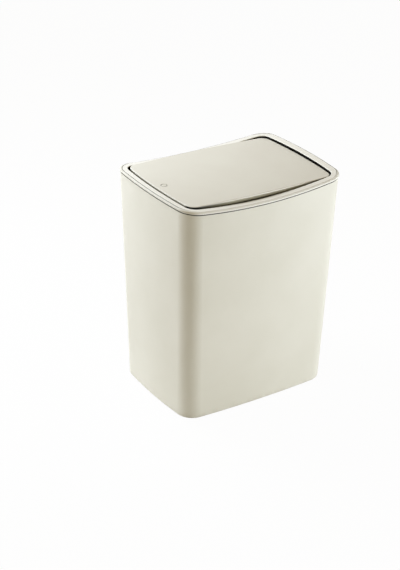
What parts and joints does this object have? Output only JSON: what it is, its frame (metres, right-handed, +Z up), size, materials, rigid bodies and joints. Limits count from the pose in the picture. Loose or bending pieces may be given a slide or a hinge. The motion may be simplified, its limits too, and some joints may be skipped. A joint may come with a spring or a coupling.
{
  "type": "touch-top waste bin",
  "caption": "Rectangular cream waste bin with drafted sides, a lift-off rim collar and a flat sprung lid that opens when its front end is pressed.",
  "frame": {"origin": "on the floor under the middle of the bin", "axes": "+Z up, X along the short width, Y along the long depth, lid hinge at +Y and pressed end at -Y"},
  "size_m": [0.214, 0.286, 0.3495],
  "materials": {
    "cream_shell": "satin moulded polypropylene, cream",
    "cream_collar": "smooth moulded polypropylene, cream",
    "cream_lid": "satin moulded polypropylene, cream",
    "cream_liner": "fine-grained moulded polypropylene, cream",
    "dark_frame": "grained moulded polypropylene, near black",
    "zinc_steel": "zinc-plated steel",
    "bright_steel": "drawn bright steel",
    "spring_steel": "hard-drawn spring wire",
    "white_acetal": "natural acetal",
    "grey_acetal": "grey acetal",
    "magnet_nickel": "nickel-plated magnet",
    "black_rubber": "moulded rubber"
  },
  "bodies": {
    "bin": {"bin_body": "cream_shell"},
    "collar": {"lid_collar": "cream_collar", "collar_frame": "dark_frame", "hinge_bush_left": "white_acetal", "hinge_bush_right": "white_acetal", "hinge_spring_left": "spring_steel", "hinge_spring_right": "spring_steel", "latch_housing": "grey_acetal", "latch_cover": "grey_acetal", "latch_follower": "spring_steel", "latch_spring": "spring_steel", "latch_screws": "zinc_steel", "lid_buffers": "black_rubber"},
    "axle": {"hinge_axle": "bright_steel", "axle_clips": "zinc_steel"},
    "lid": {"lid_panel": "cream_lid", "lid_liner": "cream_liner", "liner_screws": "zinc_steel", "strike_plate": "bright_steel", "strike_screws": "zinc_steel"},
    "plunger": {"latch_plunger": "white_acetal", "latch_magnet": "magnet_nickel"}
  },
  "joints": [
    {"name": "collar_lift", "type": "slide", "parent": "bin", "child": "collar", "axis": [0, 0, 1], "range_m": [0, 0.08]},
    {"name": "lid_press", "type": "hinge", "parent": "collar", "child": "axle", "pos_m": [0, 0.109, 0.3367], "axis": [-1, 0, 0], "range_deg": [-0.65, 1.2], "stiffness_Nm_per_rad": 30, "springref_deg": 0.46},
    {"name": "lid_open", "type": "hinge", "parent": "axle", "child": "lid", "pos_m": [0, 0.109, 0.3367], "axis": [-1, 0, 0], "range_deg": [0, 84]},
    {"name": "latch_plunge", "type": "slide", "parent": "collar", "child": "plunger", "axis": [0, 0, 1], "range_m": [-0.00253, 0.00467], "deforming": ["latch_spring"]}
  ],
  "couplings": [
    {"joint": "latch_plunge", "follows": "lid_press", "m_per_rad": 0.2225}
  ]
}
